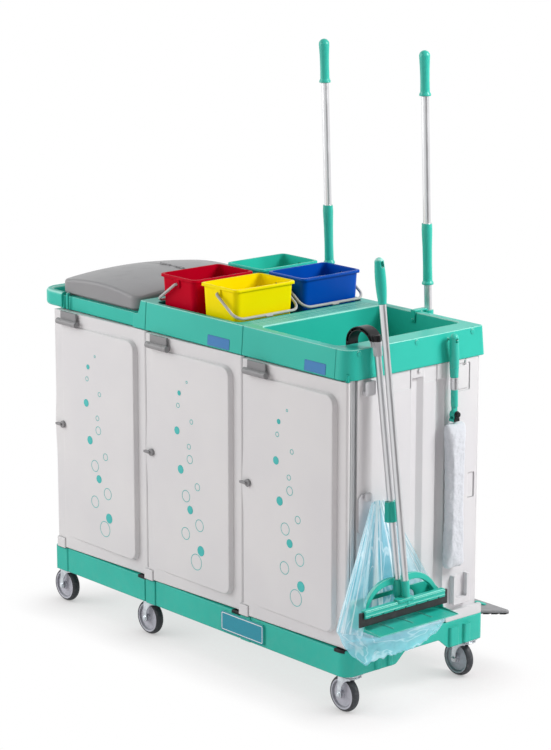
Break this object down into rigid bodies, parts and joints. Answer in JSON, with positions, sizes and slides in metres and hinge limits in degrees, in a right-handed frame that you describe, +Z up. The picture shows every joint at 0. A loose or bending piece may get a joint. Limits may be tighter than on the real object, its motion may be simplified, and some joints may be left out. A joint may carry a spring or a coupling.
{
  "type": "service trolley",
  "caption": "Wheeled cleaning trolley with hinged-door cupboards, lidded waste bay, bucket tray, open hopper, push handle and carried mops, squeegee, dustpan and window washer.",
  "frame": {"origin": "middle of the bounding box, on the floor under the wheels", "axes": "+X from the push handle towards the tool end, +Y from the doors towards the back, +Z up"},
  "size_m": [1.6868, 0.752, 1.945],
  "materials": {
    "teal_plastic": "teal-green moulded plastic",
    "anodised_profile": "anodised aluminium profile",
    "white_panel": "white moulded panel",
    "door_plastic": "pale grey moulded door",
    "grey_plastic": "mid-grey moulded plastic",
    "black_plastic": "black plastic",
    "black_rubber": "black rubber",
    "zinc_steel": "zinc-plated pressed steel",
    "wheel_rubber": "grey wheel with dark tyre",
    "red_plastic": "red bucket",
    "yellow_plastic": "yellow bucket",
    "blue_plastic": "blue bucket",
    "bail_plastic": "grey bail",
    "tool_aluminium": "satin tube",
    "sleeve_fabric": "white washing sleeve",
    "bag_film": "thin pale-blue film"
  },
  "bodies": {
    "cabinet": {"base_deck": "teal_plastic", "uprights": "anodised_profile", "rim_left": "teal_plastic", "rim_middle": "teal_plastic", "rim_right": "teal_plastic", "push_handle": "teal_plastic", "end_panel": "white_panel", "side_panels": "white_panel", "back_panels": "white_panel", "door_pivots": "black_plastic", "caster_plates": "zinc_steel", "tool_hooks": "grey_plastic", "pole_clips": "teal_plastic", "lid_frame": "grey_plastic"},
    "lid": {"lid": "grey_plastic"},
    "door_1": {"door_1": "door_plastic"},
    "lock_1": {"lock_1": "grey_plastic"},
    "latch_1": {"latch_1": "grey_plastic"},
    "door_2": {"door_2": "door_plastic"},
    "lock_2": {"lock_2": "grey_plastic"},
    "latch_2": {"latch_2": "grey_plastic"},
    "door_3": {"door_3": "door_plastic"},
    "lock_3": {"lock_3": "grey_plastic"},
    "latch_3": {"latch_3": "grey_plastic"},
    "fork_1": {"fork_1": "zinc_steel"},
    "wheel_1": {"wheel_1": "wheel_rubber"},
    "fork_2": {"fork_2": "zinc_steel"},
    "wheel_2": {"wheel_2": "wheel_rubber"},
    "fork_3": {"fork_3": "zinc_steel"},
    "wheel_3": {"wheel_3": "wheel_rubber"},
    "fork_4": {"fork_4": "zinc_steel"},
    "wheel_4": {"wheel_4": "wheel_rubber"},
    "fork_5": {"fork_5": "zinc_steel"},
    "wheel_5": {"wheel_5": "wheel_rubber"},
    "fork_6": {"fork_6": "zinc_steel"},
    "wheel_6": {"wheel_6": "wheel_rubber"},
    "bucket_red": {"bucket_red": "red_plastic"},
    "bail_red": {"bail_red": "bail_plastic"},
    "bucket_yellow": {"bucket_yellow": "yellow_plastic"},
    "bail_yellow": {"bail_yellow": "bail_plastic"},
    "bucket_green": {"bucket_green": "teal_plastic"},
    "bail_green": {"bail_green": "bail_plastic"},
    "bucket_blue": {"bucket_blue": "blue_plastic"},
    "bail_blue": {"bail_blue": "bail_plastic"},
    "mop_1": {"mop_pole_1": "tool_aluminium"},
    "mop_frame_1": {"mop_frame_1": "grey_plastic"},
    "mop_2": {"mop_pole_2": "tool_aluminium"},
    "mop_frame_2": {"mop_frame_2": "grey_plastic"},
    "dustpan": {"dustpan_pole": "tool_aluminium", "dustpan_grip": "black_plastic", "dustpan_yoke": "teal_plastic", "dustpan_pan": "teal_plastic", "bag": "bag_film"},
    "squeegee": {"squeegee_pole": "tool_aluminium", "squeegee_grip": "teal_plastic", "squeegee_head": "teal_plastic", "squeegee_blade": "black_rubber"},
    "washer": {"washer_grip": "teal_plastic"},
    "washer_head": {"washer_head": "teal_plastic", "washer_sleeve": "sleeve_fabric"}
  },
  "joints": [
    {"name": "lid_hinge", "type": "hinge", "parent": "cabinet", "child": "lid", "pos_m": [-0.543, 0.017, 1.168], "axis": [-1, 0, 0], "range_deg": [0, 100]},
    {"name": "door_1_hinge", "type": "hinge", "parent": "cabinet", "child": "door_1", "pos_m": [-0.286, -0.299, 0.626], "axis": [0, 0, 1], "range_deg": [0, 90]},
    {"name": "lock_1_turn", "type": "hinge", "parent": "door_1", "child": "lock_1", "pos_m": [-0.708, -0.323, 0.647], "axis": [0, 1, 0], "range_deg": [0, 90]},
    {"name": "latch_1_flap", "type": "hinge", "parent": "door_1", "child": "latch_1", "pos_m": [-0.662, -0.3345, 1.003], "axis": [1, 0, 0], "range_deg": [0, 70]},
    {"name": "door_2_hinge", "type": "hinge", "parent": "cabinet", "child": "door_2", "pos_m": [0.192, -0.299, 0.626], "axis": [0, 0, 1], "range_deg": [0, 90]},
    {"name": "lock_2_turn", "type": "hinge", "parent": "door_2", "child": "lock_2", "pos_m": [-0.23, -0.323, 0.647], "axis": [0, 1, 0], "range_deg": [0, 90]},
    {"name": "latch_2_flap", "type": "hinge", "parent": "door_2", "child": "latch_2", "pos_m": [-0.184, -0.3345, 1.003], "axis": [1, 0, 0], "range_deg": [0, 70]},
    {"name": "door_3_hinge", "type": "hinge", "parent": "cabinet", "child": "door_3", "pos_m": [0.67, -0.299, 0.626], "axis": [0, 0, 1], "range_deg": [0, 90]},
    {"name": "lock_3_turn", "type": "hinge", "parent": "door_3", "child": "lock_3", "pos_m": [0.248, -0.323, 0.647], "axis": [0, 1, 0], "range_deg": [0, 90]},
    {"name": "latch_3_flap", "type": "hinge", "parent": "door_3", "child": "latch_3", "pos_m": [0.294, -0.3345, 1.003], "axis": [1, 0, 0], "range_deg": [0, 70]},
    {"name": "caster_1_swivel", "type": "hinge", "parent": "cabinet", "child": "fork_1", "pos_m": [-0.748, -0.27, 0.118], "axis": [0, 0, 1], "continuous": true},
    {"name": "wheel_1_spin", "type": "hinge", "parent": "fork_1", "child": "wheel_1", "pos_m": [-0.776, -0.27, 0.057], "axis": [0, 1, 0], "continuous": true},
    {"name": "caster_2_swivel", "type": "hinge", "parent": "cabinet", "child": "fork_2", "pos_m": [-0.748, 0.218, 0.118], "axis": [0, 0, 1], "continuous": true},
    {"name": "wheel_2_spin", "type": "hinge", "parent": "fork_2", "child": "wheel_2", "pos_m": [-0.776, 0.218, 0.057], "axis": [0, 1, 0], "continuous": true},
    {"name": "caster_3_swivel", "type": "hinge", "parent": "cabinet", "child": "fork_3", "pos_m": [-0.288, -0.27, 0.118], "axis": [0, 0, 1], "continuous": true},
    {"name": "wheel_3_spin", "type": "hinge", "parent": "fork_3", "child": "wheel_3", "pos_m": [-0.316, -0.27, 0.057], "axis": [0, 1, 0], "continuous": true},
    {"name": "caster_4_swivel", "type": "hinge", "parent": "cabinet", "child": "fork_4", "pos_m": [-0.288, 0.218, 0.118], "axis": [0, 0, 1], "continuous": true},
    {"name": "wheel_4_spin", "type": "hinge", "parent": "fork_4", "child": "wheel_4", "pos_m": [-0.316, 0.218, 0.057], "axis": [0, 1, 0], "continuous": true},
    {"name": "caster_5_swivel", "type": "hinge", "parent": "cabinet", "child": "fork_5", "pos_m": [0.662, -0.27, 0.118], "axis": [0, 0, 1], "continuous": true},
    {"name": "wheel_5_spin", "type": "hinge", "parent": "fork_5", "child": "wheel_5", "pos_m": [0.634, -0.27, 0.057], "axis": [0, 1, 0], "continuous": true},
    {"name": "caster_6_swivel", "type": "hinge", "parent": "cabinet", "child": "fork_6", "pos_m": [0.662, 0.218, 0.118], "axis": [0, 0, 1], "continuous": true},
    {"name": "wheel_6_spin", "type": "hinge", "parent": "fork_6", "child": "wheel_6", "pos_m": [0.634, 0.218, 0.057], "axis": [0, 1, 0], "continuous": true},
    {"name": "bucket_red_lift", "type": "slide", "parent": "cabinet", "child": "bucket_red", "axis": [0, 0, 1], "range_m": [0, 0.3]},
    {"name": "bail_red_swing", "type": "hinge", "parent": "bucket_red", "child": "bail_red", "pos_m": [-0.144, -0.1605, 1.205], "axis": [0, 1, 0], "range_deg": [0, 124.52]},
    {"name": "bucket_yellow_lift", "type": "slide", "parent": "cabinet", "child": "bucket_yellow", "axis": [0, 0, 1], "range_m": [0, 0.3]},
    {"name": "bail_yellow_swing", "type": "hinge", "parent": "bucket_yellow", "child": "bail_yellow", "pos_m": [0.058, -0.1605, 1.205], "axis": [0, -1, 0], "range_deg": [0, 124.52]},
    {"name": "bucket_green_lift", "type": "slide", "parent": "cabinet", "child": "bucket_green", "axis": [0, 0, 1], "range_m": [0, 0.3]},
    {"name": "bail_green_swing", "type": "hinge", "parent": "bucket_green", "child": "bail_green", "pos_m": [-0.144, 0.1165, 1.205], "axis": [0, 1, 0], "range_deg": [0, 124.52]},
    {"name": "bucket_blue_lift", "type": "slide", "parent": "cabinet", "child": "bucket_blue", "axis": [0, 0, 1], "range_m": [0, 0.3]},
    {"name": "bail_blue_swing", "type": "hinge", "parent": "bucket_blue", "child": "bail_blue", "pos_m": [0.058, 0.1165, 1.205], "axis": [0, -1, 0], "range_deg": [0, 124.52]},
    {"name": "mop_1_pull", "type": "slide", "parent": "cabinet", "child": "mop_1", "axis": [0, 1, 0], "range_m": [0, 0.12]},
    {"name": "mop_1_tilt", "type": "hinge", "parent": "mop_1", "child": "mop_frame_1", "pos_m": [-0.065, 0.32581, 0.336], "axis": [1, 0, 0], "range_deg": [-45, 45]},
    {"name": "mop_2_pull", "type": "slide", "parent": "cabinet", "child": "mop_2", "axis": [0, 1, 0], "range_m": [0, 0.12]},
    {"name": "mop_2_tilt", "type": "hinge", "parent": "mop_2", "child": "mop_frame_2", "pos_m": [0.395, 0.33, 0.226], "axis": [1, 0, 0], "range_deg": [-45, 45]},
    {"name": "dustpan_lift", "type": "slide", "parent": "cabinet", "child": "dustpan", "axis": [0, 0, 1], "range_m": [0, 0.1]},
    {"name": "squeegee_lift", "type": "slide", "parent": "dustpan", "child": "squeegee", "axis": [0, 0, 1], "range_m": [0, 0.3]},
    {"name": "washer_pull", "type": "slide", "parent": "cabinet", "child": "washer", "axis": [1, 0, 0], "range_m": [0, 0.08]},
    {"name": "washer_swing", "type": "hinge", "parent": "washer", "child": "washer_head", "pos_m": [0.704, 0.11, 0.88], "axis": [1, 0, 0], "range_deg": [0, 90]}
  ]
}
